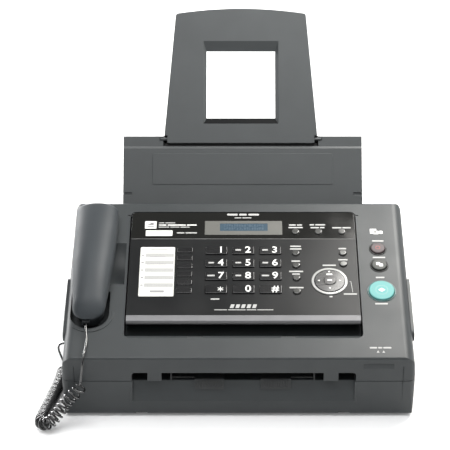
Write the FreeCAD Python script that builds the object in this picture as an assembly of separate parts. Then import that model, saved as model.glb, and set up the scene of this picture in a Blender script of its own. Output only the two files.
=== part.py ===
"""Desktop fax machine with a corded handset, built as separate parts. Millimetres, +X right, +Y back, +Z up.

Every part is drawn in one of three frames and then placed:
  case frame   y = 0 at the front face, z = 0 at the feet
  cover frame  y = distance up the sloping deck, z = height above the deck
  tray frame   y = distance up the leaning paper tray, z = height above its paper face
"""
import FreeCAD
import Part
import math
import os

V = FreeCAD.Vector

# ---- driving dimensions -------------------------------------------------------------
CASE_DEPTH = 340.0
FRONT_Y = -211.8
PARTING_HALF = 217.0
DECK_HALF = 215.0
BASE_HALF = 214.8
FOOT_HEIGHT = 3.0
PARTING_Z = 51.5
EDGE_Z = 83.0
DECK_SLOPE = 20.0
COVER_DEPTH = 256.5
COVER_THICKNESS = 29.6
WALL = 2.6
LONG_EDGE_RADIUS = 13.0
PARTING_GAP = 0.8

PAPER_X = 6.0
SLOT_TOP_Z = 62.7
LIP_Y = 8.0
LIP_Z = 48.5
RAMP_Z = 23.0
RAMP_HALF = 136.5
PAPER_DECK_END = 38.0

COVER_HINGE = (264.0, 158.0)
HINGE_PIN_R = 3.0

TRAY_TOP = (324.0, 243.8)
TRAY_ANGLE = 57.0
TRAY_HALF = 160.5
TRAY_LENGTH = 150.0
EXTENSION_HEIGHT = 169.0
EXTENSION_CROWN = 7.0
EXTENSION_X = 3.0
EXTENSION_PIVOT = (-4.0, -1.5)

RECESS = (-142.0, 154.0, 33.0, 254.4)
RECESS_DEPTH = 24.0
PANEL = (-140.3, 152.3, 68.7, 252.0)
PANEL_TOP = 2.5
PANEL_DEPTH = 14.0
PANEL_PIVOT = (247.5, -2.0)

HANDSET_X = -185.8
HANDSET_FRONT = 57.0
HANDSET_BACK = 250.0
HANDSET_SPLIT = 9.0

KEY_PROUD = 1.6
KEY_GAP = 0.4
CORD_WIRE = 2.8
CORD_COIL = 17.0
CORD_ARC_SHARE = 0.45

GUIDE_STROKE = 22.0
PINION_CENTRE = (5.0, 30.0)
PINION_TEETH = 10
PINION_PITCH_R = GUIDE_STROKE / (2 * math.pi)

SLOPE_TAN = math.tan(math.radians(DECK_SLOPE))
SLOPE_COS = math.cos(math.radians(DECK_SLOPE))
COVER_FRAME = FreeCAD.Placement(V(0, 0, EDGE_Z), FreeCAD.Rotation(V(1, 0, 0), DECK_SLOPE))
TRAY_FRAME = FreeCAD.Placement(V(0, *TRAY_TOP), FreeCAD.Rotation(V(1, 0, 0), TRAY_ANGLE))


# ---- shape helpers ------------------------------------------------------------------
def box(x0, x1, y0, y1, z0, z1):
    return Part.makeBox(x1 - x0, y1 - y0, z1 - z0, V(x0, y0, z0))


def rod_x(x0, x1, y, z, radius):
    return Part.makeCylinder(radius, x1 - x0, V(x0, y, z), V(1, 0, 0))


def rod_z(x, y, z0, z1, radius):
    return Part.makeCylinder(radius, z1 - z0, V(x, y, z0))


def joined(shapes):
    return shapes[0].fuse(shapes[1:]).removeSplitter()


def rounded_wire(corners, lift):
    """Closed outline through (u, v, radius) corners; lift turns (u, v) into a 3-D point."""
    count = len(corners)
    spans = []
    for i in range(count):
        before, here, after = corners[i - 1], corners[i], corners[(i + 1) % count]
        centre = V(here[0], here[1], 0)
        radius = here[2]
        to_before = (V(before[0], before[1], 0) - centre).normalize()
        to_after = (V(after[0], after[1], 0) - centre).normalize()
        half = to_before.getAngle(to_after) / 2
        if radius <= 0:
            spans.append((centre, None, centre))
            continue
        reach = radius / math.tan(half)
        middle = (to_before + to_after).normalize()
        apex = centre + middle * (radius / math.sin(half) - radius)
        spans.append((centre + to_before * reach, apex, centre + to_after * reach))
    edges = []
    for i in range(count):
        start, apex, end = spans[i]
        if apex is not None:
            edges.append(Part.Arc(lift(start), lift(apex), lift(end)).toShape())
        following = spans[(i + 1) % count][0]
        if end.distanceToPoint(following) > 1e-6:
            edges.append(Part.LineSegment(lift(end), lift(following)).toShape())
    return Part.Wire(edges)


def slab_x(corners, x0, x1):
    wire = rounded_wire(corners, lambda p: V(x0, p.x, p.y))
    return Part.Face(wire).extrude(V(x1 - x0, 0, 0))


def slab_y(corners, y0, y1):
    wire = rounded_wire(corners, lambda p: V(p.x, y0, p.y))
    return Part.Face(wire).extrude(V(0, y1 - y0, 0))


def slab_z(corners, z0, z1):
    wire = rounded_wire(corners, lambda p: V(p.x, p.y, z0))
    return Part.Face(wire).extrude(V(0, 0, z1 - z0))


def pad(x0, x1, y0, y1, z0, z1, radius):
    return slab_z([(x0, y0, radius), (x1, y0, radius), (x1, y1, radius), (x0, y1, radius)], z0, z1)


def rectangle(x0, x1, y0, y1, z):
    return Part.makePolygon([V(x0, y0, z), V(x1, y0, z), V(x1, y1, z), V(x0, y1, z), V(x0, y0, z)])


def grown(bounds, margin):
    x0, x1, y0, y1 = bounds
    return (x0 - margin, x1 + margin, y0 - margin, y1 + margin)


def placed(shape, frame):
    result = shape.copy()
    result.Placement = frame.multiply(result.Placement)
    return result


def on_cover(shape):
    return placed(shape, COVER_FRAME)


def on_tray(shape):
    return placed(shape, TRAY_FRAME)


# ---- base ---------------------------------------------------------------------------
def base_side(inset):
    """Side outline of the base, its open top following the cover's parting line."""
    rim = PARTING_Z - PARTING_GAP
    return [(2.0 + inset, FOOT_HEIGHT + inset, 4.0), (inset, rim, 0),
            (257.0, rim + 257.0 * SLOPE_TAN, 0), (257.6, 146.0 - inset, 0),
            (304.0, 146.0 - inset, 8.0), (CASE_DEPTH - inset, 112.0, 12.0),
            (CASE_DEPTH - inset, FOOT_HEIGHT + inset, 4.0)]


def base_front(inset):
    top = 240.0
    low = FOOT_HEIGHT + inset
    wide = PARTING_HALF - inset
    foot = BASE_HALF - inset
    return [(-foot, low, 4.0), (foot, low, 4.0), (wide, PARTING_Z, 0), (wide, top, 0),
            (-wide, top, 0), (-wide, PARTING_Z, 0)]


def plan(inset, y0, y1, front_radius, back_radius):
    wide = PARTING_HALF - inset
    return [(-wide, y0, front_radius), (wide, y0, front_radius),
            (wide, y1, back_radius), (-wide, y1, back_radius)]


def ramp_profile():
    return [(0, RAMP_Z, 0), (LIP_Y, LIP_Z, 1.2), (PAPER_DECK_END, LIP_Z, 0),
            (PAPER_DECK_END, LIP_Z - WALL, 0), (LIP_Y + 2.4, LIP_Z - WALL, 0), (WALL, RAMP_Z - 1.5, 0)]


def roller_ribs(x_pairs, y, z, half, bore):
    """Pairs of upright ribs that carry a roller shaft."""
    ribs = []
    for x0, x1 in x_pairs:
        rib = box(x0, x1, y - half, y + half, FOOT_HEIGHT + 1, z + half - 1)
        ribs.append(rib.cut(rod_x(x0 - 1, x1 + 1, y, z, bore)))
    return ribs


EXIT_ROLLER = (47.0, 50.0, 6.0, 2.5)
EXIT_RIBS = ((-134.0, -131.0), (143.0, 146.0))
PICKUP_ROLLER = (232.0, 112.0, 10.0, 3.0)
PICKUP_RIBS = ((-66.0, -62.0), (72.0, 76.0))
SHAFT_PLAY = 0.05


def base_shell():
    outer = slab_x(base_side(0), -230, 230).common(slab_y(base_front(0), -5, CASE_DEPTH + 5))
    outer = outer.common(slab_z(plan(0, 0, CASE_DEPTH, 9.0, 14.0), 0, 250))
    hollow = slab_x([(2.0 + WALL, FOOT_HEIGHT + WALL, 3.0), (WALL, 60.0, 0), (WALL, 200.0, 0),
                     (251.5, 200.0, 0), (251.5, 143.0, 0), (303.0, 143.4, 6.0),
                     (CASE_DEPTH - WALL, 111.0, 10.0),
                     (CASE_DEPTH - WALL, FOOT_HEIGHT + WALL, 3.0)], -230, 230)
    hollow = hollow.common(slab_y(base_front(WALL), -5, CASE_DEPTH + 5))
    hollow = hollow.common(slab_z(plan(WALL, WALL, CASE_DEPTH - WALL, 7.0, 12.0), 0, 250))
    return outer.cut(hollow)


def base_hinge_posts():
    posts = []
    y, z = COVER_HINGE
    for side in (-1, 1):
        near, far = sorted((side * 198.0, side * 205.0))
        cheek = slab_x([(y - 7, 144.0, 0), (y + 12, 144.0, 0),
                        (y + 7, z + 7, 6.9), (y - 7, z + 7, 6.9)], near, far)
        pin = rod_x(*sorted((side * 186.0, side * 199.0)), y, z, HINGE_PIN_R)
        posts += [cheek, pin]
    return posts


def base_vents():
    """Cooling slots in both side walls, towards the back."""
    slots = []
    for i in range(9):
        y = 236.0 + i * 8.0
        slots.append(pad(-230, 230, y, y + 3.2, 40.0, 92.0, 1.2))
    return slots


def base_housing():
    centre = PAPER_X
    shell = base_shell()
    window = box(centre - RAMP_HALF, centre + RAMP_HALF, -1, WALL + 1.5, RAMP_Z, 80.0)
    shell = shell.cut(window)
    ramp = slab_x(ramp_profile(), centre - RAMP_HALF - 0.5, centre + RAMP_HALF + 0.5)
    cheeks = []
    for side in (-1, 1):
        x = centre + side * (RAMP_HALF + 1.4)
        cheeks.append(slab_x([(0.2, RAMP_Z - 2, 0), (0.2, PARTING_Z - PARTING_GAP, 0),
                              (WALL + PAPER_DECK_END, 60.0, 0), (PAPER_DECK_END, LIP_Z - WALL, 0),
                               (WALL, RAMP_Z - 2, 0)],
                             x - 1.4, x + 1.4))
    axle = rod_z(*PINION_CENTRE, LIP_Z - 1, LIP_Z + 2.6, 1.4)
    parts = [shell, ramp, axle] + cheeks + base_hinge_posts()
    parts += roller_ribs(EXIT_RIBS, EXIT_ROLLER[0], EXIT_ROLLER[1], 7.0, EXIT_ROLLER[3] + SHAFT_PLAY)
    parts += roller_ribs(PICKUP_RIBS, PICKUP_ROLLER[0], PICKUP_ROLLER[1], 8.0, PICKUP_ROLLER[3] + SHAFT_PLAY)
    parts.append(box(-214.5, -200.0, 142.0, 158.0, 14.0, 30.0))
    housing = joined(parts)
    cuts = [box(-220, -204.0, 144.8, 155.2, 17.8, 26.2)]
    cuts.append(box(-158.0, 170.0, 255.0, 297.0, 138.0, 160.0))
    cuts.append(box(127.9, 160.1, CASE_DEPTH - 4, CASE_DEPTH + 1, 8.9, 38.1))
    cuts.append(box(-184.1, -145.9, CASE_DEPTH - 4, CASE_DEPTH + 1, 8.9, 30.1))
    for x in (-120.0, 130.4):
        cuts.append(box(x - 7, x + 7, -1, 6.0, -1, 6.0))
    for side in (-1, 1):
        cuts.append(box(side * 201.5 - 0.5, side * 201.5 + 0.5, -1, 1.3, 27.0, 53.0))
    for vent in base_vents():
        cuts.append(vent)
    for x, y in SCREW_PLACES:
        cuts.append(rod_z(x, y, -1, 4.6, 4.2))
    return housing.cut(Part.makeCompound(cuts))


FOOT_PLACES = ((-190.0, 28.0), (190.0, 28.0), (-190.0, 312.0), (190.0, 312.0))
SCREW_PLACES = ((-160.0, 60.0), (160.0, 60.0), (-160.0, 290.0), (160.0, 290.0), (0.0, 300.0))


def rubber_feet():
    feet = []
    for x, y in FOOT_PLACES:
        foot = rod_z(x, y, 0, FOOT_HEIGHT, 9.0)
        foot = foot.makeChamfer(0.8, [edge for edge in foot.Edges if edge.BoundBox.ZMax < 0.01])
        feet.append(foot)
    return Part.makeCompound(feet)


def case_screws():
    screws = []
    for x, y in SCREW_PLACES:
        head = rod_z(x, y, 2.2, 4.6, 3.6)
        slot = box(x - 3.0, x + 3.0, y - 0.4, y + 0.4, 2.0, 3.0)
        cross = box(x - 0.4, x + 0.4, y - 3.0, y + 3.0, 2.0, 3.0)
        screws.append(head.cut(slot.fuse(cross)))
    return Part.makeCompound(screws)


# ---- paper path ---------------------------------------------------------------------
def roller(place, x0, x1, sleeves, sleeve_length):
    y, z, radius, shaft = place
    pieces = [rod_x(x0, x1, y, z, shaft)]
    for x in sleeves:
        pieces.append(rod_x(x - sleeve_length / 2, x + sleeve_length / 2, y, z, radius))
    return joined(pieces)


def exit_roller():
    return roller(EXIT_ROLLER, -134.0, 146.0, (-90.0, -35.0, 47.0, 102.0), 26.0)


def pickup_roller():
    return roller(PICKUP_ROLLER, -66.0, 76.0, (5.0,), 44.0)


def ramp_line(along, out):
    length = math.hypot(LIP_Y, LIP_Z - RAMP_Z)
    ux, uz = LIP_Y / length, (LIP_Z - RAMP_Z) / length
    return (along * ux - out * uz, RAMP_Z + along * uz + out * ux)


def rack_teeth(x0, x1, base_y, reach):
    """Rack teeth centred half a pitch either side of the pinion; reach is signed towards the pinion."""
    pitch = GUIDE_STROKE / PINION_TEETH
    teeth = []
    first = math.ceil((x0 - PINION_CENTRE[0]) / pitch) + 0.5
    x = PINION_CENTRE[0] + first * pitch
    while x < x1 - 0.8:
        teeth.append(slab_z([(x - 0.5, base_y, 0), (x + 0.5, base_y, 0), (x + 0.25, base_y + reach, 0),
                             (x - 0.25, base_y + reach, 0)], LIP_Z + 0.4, LIP_Z + 2.0))
        x += pitch
    return teeth


def grip_ribs(x0, x1):
    ribs = []
    x = x0 + 3.2
    while x < x1 - 2.6:
        ribs.append(slab_x([(*ramp_line(17.4, 2.0), 0), (*ramp_line(27.0, 2.0), 0),
                            (*ramp_line(27.0, 3.1), 0), (*ramp_line(17.4, 3.1), 0)], x, x + 1.0))
        x += 2.0
    return ribs


def guide(tab, fin_x, rack, rack_y, teeth_reach):
    """One sliding side guide: ribbed finger tab over the lip, arm, upright fin and rack."""
    low, high = LIP_Z + 0.4, LIP_Z + 2.0
    over = ramp_line(28.0, 2.4)
    finger = slab_x([(*ramp_line(15.5, 0.5), 0), (*ramp_line(26.6, 0.5), 0),
                     (LIP_Y + 1.2, low, 0), (20.0, low, 0),
                     (20.0, high, 0), (over[0] + 1.0, high, 1.0), (*ramp_line(15.5, 2.4), 0)], *tab)
    inner = tab[0] if fin_x > PAPER_X else tab[1]
    arm = box(min(fin_x, inner), max(fin_x, inner), 12.0, 20.0, low, high)
    fin = slab_x([(7.0, low, 0), (36.0, low, 0),
                  (36.0, SLOT_TOP_Z - 3.5, 3.0), (12.0, SLOT_TOP_Z - 2.2, 3.0)],
                 fin_x - 1.0, fin_x + 1.0)
    rack_bar = box(rack[0], rack[1], rack_y[0], rack_y[1], low, high)
    link_x = (rack[0], rack[0] + 6.0) if fin_x < PAPER_X else (rack[1] - 6.0, rack[1])
    link = box(*link_x, 14.0, rack_y[1], low, high)
    tooth_root = rack_y[1] if teeth_reach > 0 else rack_y[0]
    pieces = [finger, arm, fin, rack_bar, link] + grip_ribs(*tab)
    pieces += rack_teeth(rack[0] + 6.0, rack[1] - 6.0, tooth_root - 0.1 * teeth_reach, teeth_reach * 1.1)
    return joined(pieces)


def document_guides():
    x, y = PINION_CENTRE
    front_root = y - PINION_PITCH_R - 0.75
    back_root = y + PINION_PITCH_R + 0.75
    left = guide((-54.0, -18.0), -83.0, (-30.0, x + 9.0), (front_root - 3.0, front_root), 1.25)
    right = guide((27.2, 64.6), 93.0, (x - 9.0, 66.0), (back_root, back_root + 3.0), -1.25)
    return left, right


def guide_pinion():
    x, y = PINION_CENTRE
    root = PINION_PITCH_R - 0.7
    tip = PINION_PITCH_R + 0.5
    low, high = LIP_Z + 0.4, LIP_Z + 2.0
    pieces = [rod_z(x, y, low, high, root)]
    for i in range(PINION_TEETH):
        tooth = slab_z([(x - 0.5, y - root + 0.4, 0), (x + 0.5, y - root + 0.4, 0), (x + 0.25, y - tip, 0),
                        (x - 0.25, y - tip, 0)], low, high)
        tooth.rotate(V(x, y, 0), V(0, 0, 1), i * 360.0 / PINION_TEETH)
        pieces.append(tooth)
    return joined(pieces).cut(rod_z(x, y, 0, 100, 1.4 + SHAFT_PLAY))


# ---- internals ----------------------------------------------------------------------
def laser_unit():
    deck = box(-104.0, 116.0, 112.0, 212.0, 5.6, 40.0)
    dome = rod_z(6.0, 166.0, 40.0, 45.0, 26.0)
    window = box(-70.0, 82.0, 126.0, 134.0, 38.0, 41.0)
    return joined([deck, dome]).cut(window)


def toner_drum_unit():
    tub = slab_x([(112.0, 46.0, 4.0), (214.0, 46.0, 4.0), (214.0, 84.0, 10.0), (160.0, 84.0, 6.0),
                  (140.0, 68.0, 4.0), (112.0, 60.0, 4.0)], -118.0, 130.0)
    drum = rod_x(-122.0, 134.0, 128.0, 60.0, 12.0)
    handle = slab_x([(180.0, 80.0, 0), (204.0, 80.0, 0),
                     (204.0, 96.0, 5.0), (180.0, 96.0, 5.0)], -26.0, 38.0)
    grip = box(-20.0, 32.0, 176.0, 208.0, 84.0, 91.0)
    under = box(-130.0, 140.0, 100.0, 166.0, 40.0, 46.0)
    return joined([tub, drum, handle]).cut(grip).cut(under)


def fuser_unit():
    case = slab_x([(60.0, 5.6, 2.0), (100.0, 5.6, 2.0),
                   (100.0, 62.0, 6.0), (60.0, 62.0, 6.0)], -120.0, 132.0)
    heat_roller = rod_x(-124.0, 136.0, 80.0, 48.0, 9.0)
    throat = box(-110.0, 122.0, 58.0, 102.0, 50.0, 53.0)
    return joined([case, heat_roller]).cut(throat)


def main_board():
    board = box(-188.0, 164.0, 246.0, 330.0, 9.0, 10.6)
    parts = [board, box(-100.0, -70.0, 262.0, 292.0, 10.6, 13.4), box(-40.0, -8.0, 270.0, 290.0, 10.6, 13.0),
             box(60.0, 104.0, 256.0, 300.0, 10.6, 42.0), box(20.0, 48.0, 300.0, 322.0, 10.6, 30.0)]
    for i in range(4):
        parts.append(rod_z(-56.0 + i * 14.0, 314.0, 10.6, 26.0, 5.0))
    for x, y in ((-176.0, 256.0), (150.0, 256.0), (-40.0, 256.0), (-100.0, 322.0)):
        parts.append(rod_z(x, y, 5.6, 9.0, 3.5))
    inlet = box(128.0, 160.0, 314.0, CASE_DEPTH, 9.0, 38.0)
    inlet = inlet.cut(box(132.0, 156.0, 320.0, CASE_DEPTH + 1, 17.0, 34.0))
    parts.append(inlet)
    for dx in (-7.0, 0.0, 7.0):
        parts.append(box(143.0 + dx, 145.0 + dx, 318.0, 334.0, 23.0, 28.0))
    jacks = box(-184.0, -146.0, 320.0, CASE_DEPTH, 9.0, 30.0)
    for x in (-175.0, -155.0):
        jacks = jacks.cut(box(x - 6.0, x + 6.0, 326.0, CASE_DEPTH + 1, 16.0, 26.0))
    return joined(parts + [jacks])


# ---- paper tray ---------------------------------------------------------------------
TRAY_POCKET = (-101.5, 107.5, -13.5)
TRAY_X = 5.5


def paper_tray():
    """Leaning tray: flat paper face, recessed top band, side returns and hinge brackets."""
    x0, x1 = TRAY_X - TRAY_HALF, TRAY_X + TRAY_HALF
    face = slab_x([(-TRAY_LENGTH, -3.0, 0), (-TRAY_LENGTH, 0, 1.2), (-17.0, 0, 0),
                   (-14.0, -1.2, 0), (0, -1.2, 1.0), (0, -9.0, 1.0), (-2.6, -9.0, 0), (-4.2, -4.2, 0),
                   (-17.0, -3.0, 0)], x0, x1)
    returns = []
    for x in (x0, x1 - WALL):
        returns.append(slab_x([(-118.0, -1.0, 0), (-1.0, -2.0, 0), (-1.0, -9.0, 3.0), (-80.0, -13.0, 8.0),
                               (-118.0, -13.0, 3.0)], x, x + WALL))
    guide_plate = pad(TRAY_X - 121.0, TRAY_X + 121.0, -66.0, -24.0, -0.5, 0.5, 2.0)
    tray = joined([face, guide_plate] + returns)
    pocket_left, pocket_right, pocket_bottom = TRAY_POCKET
    tray = tray.cut(box(pocket_left, pocket_right, pocket_bottom, 5.0, -20.0, 5.0))
    pivot_y, pivot_z = EXTENSION_PIVOT
    for x in (pocket_left, pocket_right):
        tray = tray.cut(rod_x(x - 5.0, x + 5.0, pivot_y, pivot_z, 2.1))
    for x in (x0 + 2.0, x1 - 12.0):
        tray = tray.cut(box(x, x + 10.0, -81.0, -77.0, -1.4, 2.0))
    return tray


def paper_tray_extension():
    """Fold-down support with a bevelled window and a crowned top edge."""
    centre = EXTENSION_X
    low, high = -4.5, 1.5
    bottom = -9.7
    edge_half, foot_half, top_half = 103.0, 99.0, 88.3
    crown = V(centre, EXTENSION_HEIGHT + EXTENSION_CROWN, low)
    left_top = V(centre - top_half, EXTENSION_HEIGHT, low)
    right_top = V(centre + top_half, EXTENSION_HEIGHT, low)
    sides = [V(centre - foot_half, bottom, low), V(centre + foot_half, bottom, low),
             V(centre + foot_half, 0.5, low), V(centre + edge_half, 0.5, low), right_top]
    edges = [Part.LineSegment(a, b).toShape() for a, b in zip(sides, sides[1:])]
    edges.append(Part.Arc(right_top, crown, left_top).toShape())
    left = [left_top, V(centre - edge_half, 0.5, low), V(centre - foot_half, 0.5, low), sides[0]]
    edges += [Part.LineSegment(a, b).toShape() for a, b in zip(left, left[1:])]
    plate = Part.Face(Part.Wire(edges)).extrude(V(0, 0, high - low))
    top_corners = [e for e in plate.Edges if abs(e.BoundBox.XLength) + abs(e.BoundBox.YLength) < 0.01
                   and e.BoundBox.YMin > EXTENSION_HEIGHT - 1]
    plate = plate.makeFillet(4.0, top_corners)
    window = box(centre - 46.5, centre + 46.5, 24.8, 117.6, low - 1, high + 1)
    outer = rectangle(centre - 51.0, centre + 51.0, 16.5, 131.0, high + 0.01)
    inner = rectangle(centre - 46.5, centre + 46.5, 24.8, 117.6, low + 1.5)
    bevel = Part.makeLoft([outer, inner], True)
    plate = plate.cut(window).cut(bevel)
    pins = [rod_x(TRAY_POCKET[0] - 4.0, centre - foot_half + 1.0, *EXTENSION_PIVOT, 2.0),
            rod_x(centre + foot_half - 1.0, TRAY_POCKET[1] + 4.0, *EXTENSION_PIVOT, 2.0)]
    return joined([plate] + pins)


# ---- top cover ----------------------------------------------------------------------
def cover_block(inset):
    top = [(inset, EDGE_Z - inset / SLOPE_COS + inset * SLOPE_TAN, 3.0),
           (COVER_DEPTH - inset, EDGE_Z + (COVER_DEPTH - inset) * SLOPE_TAN - inset / SLOPE_COS, 3.0)]
    bottom_drop = 0.0 if inset == 0 else 20.0
    side = [(inset, PARTING_Z - bottom_drop, 0)] + top
    side.append((COVER_DEPTH - inset, PARTING_Z + COVER_DEPTH * SLOPE_TAN - bottom_drop, 0))
    across = [(-PARTING_HALF + inset, -90.0, 0), (-PARTING_HALF + inset, -COVER_THICKNESS, 0),
              (-DECK_HALF + inset, -inset, LONG_EDGE_RADIUS - inset),
              (DECK_HALF - inset, -inset, LONG_EDGE_RADIUS - inset),
              (PARTING_HALF - inset, -COVER_THICKNESS, 0), (PARTING_HALF - inset, -90.0, 0)]
    block = slab_x(side, -230, 230).common(on_cover(slab_y(across, -90, 330)))
    return block.common(slab_z(plan(inset, inset, COVER_DEPTH - inset, 9.0 - inset, 4.0), 0, 250))


MOUTH_WELL = (-186.0, 73.0, 24.3, 111.5)
EAR_WELL = (-210.2, -160.8, 187.5, 254.0)
WELL_DEPTH = 17.0
FINGER_WELL = (-184.0, -145.2)
FINGER_AXIS = (160.0, 34.0, 50.0)


def mouth_well(margin, floor):
    x, y, radius, end = MOUTH_WELL
    wide = radius + margin
    return slab_z([(x - wide, y - wide, wide - 0.01), (x + wide, y - wide, wide - 0.01),
                   (x + wide, end + margin, 3.0), (x - wide, end + margin, 3.0)], floor, 6.0)


def cover_wells():
    """Tubs hanging under the deck, and the spaces cut out of them."""
    tubs = [mouth_well(2.2, -WELL_DEPTH - 2.2)]
    cuts = [mouth_well(0, -WELL_DEPTH)]
    ear = grown(EAR_WELL, 2.2)
    tubs.append(pad(*ear, -WELL_DEPTH - 2.2, -0.2, 8.0))
    cuts.append(pad(*EAR_WELL, -WELL_DEPTH, 6.0, 6.0))
    along, height, radius = FINGER_AXIS
    tubs.append(pad(FINGER_WELL[0] - 2.0, FINGER_WELL[1] + 2.0, 118.0, 202.0,
                    height - radius - 2.2, -0.2, 3.0))
    cuts.append(rod_x(FINGER_WELL[0], FINGER_WELL[1], along, height, radius))
    recess = grown(RECESS, 2.2)
    tubs.append(pad(*recess, -RECESS_DEPTH - 2.2, -0.2, 9.0))
    x0, x1, y0, y1 = RECESS
    cuts.append(slab_x([(y0, 2.0, 0), (y0, -0.2, 0), (y0 + 7.0, -4.5, 0), (y0 + 7.0, -RECESS_DEPTH, 2.0),
                        (y1, -RECESS_DEPTH, 2.0), (y1, 2.0, 0)], x0, x1).common(pad(*RECESS, -60, 10, 8.0)))
    return tubs, cuts


def hook_place():
    return (-185.0, 121.0)


def cover_front_cuts():
    """Slot openings, corner seams and the finger pull in the front skirt, in the case frame."""
    cuts = []
    low = PARTING_Z - 2
    rise = SLOT_TOP_Z
    for x0, x1, left_r, right_r in ((-131.0, -111.7, 4.0, 0), (-94.4, 104.2, 0, 0), (122.3, 143.8, 0, 4.0)):
        cuts.append(slab_y([(x0, low, 0), (x1, low, 0), (x1, rise, right_r), (x0, rise, left_r)],
                           -1, WALL + 1))
    for side in (-1, 1):
        cuts.append(box(side * 201.5 - 0.5, side * 201.5 + 0.5, -1, 1.3, PARTING_Z - 1, 71.0))
    cuts.append(slab_x([(-1, 68.5, 0), (0, 68.5, 0), (1.4, 75.4, 0.6), (-1, 76.2, 0)], 153.0, 190.0))
    return cuts


def cover_ears():
    """Hinge ears behind the rear wall, bored for the base's pins."""
    ears = []
    y, z = COVER_HINGE
    for side in (-1, 1):
        x0, x1 = sorted((side * 188.0, side * 196.5))
        ear = slab_x([(COVER_DEPTH - 1.0, z - 7.5, 0), (y, z - 7.5, 0),
                      (y + 7.5, z - 7.5, 7.4), (y + 7.5, z + 7.5, 7.4),
                      (y, z + 7.5, 0), (COVER_DEPTH - 1.0, z + 7.5, 0)], x0, x1)
        ears.append(ear.cut(rod_x(x0 - 1, x1 + 1, y, z, HINGE_PIN_R + SHAFT_PLAY)))
    return ears


RIGHT_BUTTONS = {"stop_button": (180.0, 186.0, 9.2), "copy_button": (180.3, 156.5, 9.8),
                 "start_button": (180.8, 111.5, 16.2)}


def side_grips():
    grips = []
    for side in (-1, 1):
        x0, x1 = sorted((side * (PARTING_HALF - 2.5), side * (PARTING_HALF + 1.5)))
        grips.append(slab_x([(45.0, -24.0, 7.9), (145.0, -24.0, 7.9),
                             (145.0, -8.0, 7.9), (45.0, -8.0, 7.9)], x0, x1))
    return grips


def top_cover():
    outer = cover_block(0)
    shell = outer.cut(cover_block(WALL))
    tubs, cuts = cover_wells()
    tub_solids = [on_cover(tub).common(outer) for tub in tubs]
    grips = [on_cover(grip) for grip in side_grips()]
    cover = joined([shell] + tub_solids + grips + cover_ears())
    x, y, radius, _ = MOUTH_WELL
    ring = rod_z(x, y, -1.5, 0.9, radius + 6.0).cut(rod_z(x, y, -2, 2, radius + 3.6))
    ring = ring.common(box(-206.0, -150.0, 20.0, 76.0, -2, 2))
    cover = joined([cover, on_cover(ring)])
    hook_x, hook_y = hook_place()
    cuts.append(box(hook_x - 5.4, hook_x + 5.4, hook_y - 4.4, hook_y + 4.4, -12, 6))
    for bx, by, br in RIGHT_BUTTONS.values():
        cuts.append(rod_z(bx, by, -8, 5, br + KEY_GAP))
    for x_wall in (RECESS[0], RECESS[1]):
        cuts.append(rod_x(x_wall - 3.5, x_wall + 3.5, *PANEL_PIVOT, 2.1))
    for x in (-54.0, 61.5):
        cuts.append(box(x - 9.5, x + 9.5, RECESS[2] + 2.0, RECESS[2] + 8.0, -5.0, -1.0))
    cuts = [on_cover(cut) for cut in cuts] + cover_front_cuts()
    return cover.cut(Part.makeCompound(cuts))


def hook_switch():
    x, y = hook_place()
    lever = slab_x([(y - 4.0, -11.0, 0), (y + 4.0, -11.0, 0),
                    (y + 4.0, 7.5, 2.5), (y - 4.0, 7.5, 2.5)], x - 5.0, x + 5.0)
    return on_cover(lever)


# ---- control panel ------------------------------------------------------------------
LCD = (-44.2, 57.0, 209.0, 234.6)
CARD = (-126.7, -81.7, 100.2, 187.2)
KEY_COLUMNS = (-28.5, 6.2, 40.7)
KEY_ROWS = (180.2, 157.4, 134.8, 111.8)
KEY_NAMES = ("key_1", "key_2", "key_3", "key_4", "key_5", "key_6", "key_7", "key_8", "key_9",
             "key_star", "key_0", "key_hash")
KEY_SIZE = (27.4, 13.6)
ONE_TOUCH = (-69.0, 181.2, 14.2, 19.4, 8.6)
ROUND_R = 4.9
ROUND_PLACES = ((74.2, 214.5), (104.0, 214.5), (134.4, 214.5), (73.8, 176.0), (73.8, 154.2), (73.8, 132.0),
                (73.8, 108.6), (134.2, 176.0), (134.2, 156.2))
NAVIGATOR = (115.4, 126.0)
NAV_RING = (19.8, 23.0)
NAV_PAD_R = 19.3
SET_R = 7.8


def key_places():
    places = {}
    for i, name in enumerate(KEY_NAMES):
        x, y = KEY_COLUMNS[i % 3], KEY_ROWS[i // 3]
        places[name] = (x - KEY_SIZE[0] / 2, x + KEY_SIZE[0] / 2, y - KEY_SIZE[1] / 2, y + KEY_SIZE[1] / 2)
    x, top, pitch, wide, high = ONE_TOUCH
    for i in range(6):
        y = top - i * pitch
        places["one_touch_key_%d" % (i + 1)] = (x - wide / 2, x + wide / 2, y - high / 2, y + high / 2)
    return places


def panel_profile(inset):
    y0, y1 = PANEL[2], PANEL_PIVOT[0]
    height = PANEL_TOP - inset
    back = 4.5 - inset
    drop = -PANEL_DEPTH if inset == 0 else -PANEL_DEPTH - 5
    return [(y0 + inset, drop, 0), (y0 + inset, height, 0), (y1 + back, height, back - 0.01),
            (y1 + back, -2.0 - back, back - 0.01), (y1 - 8.0, drop, 0)]


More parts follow.
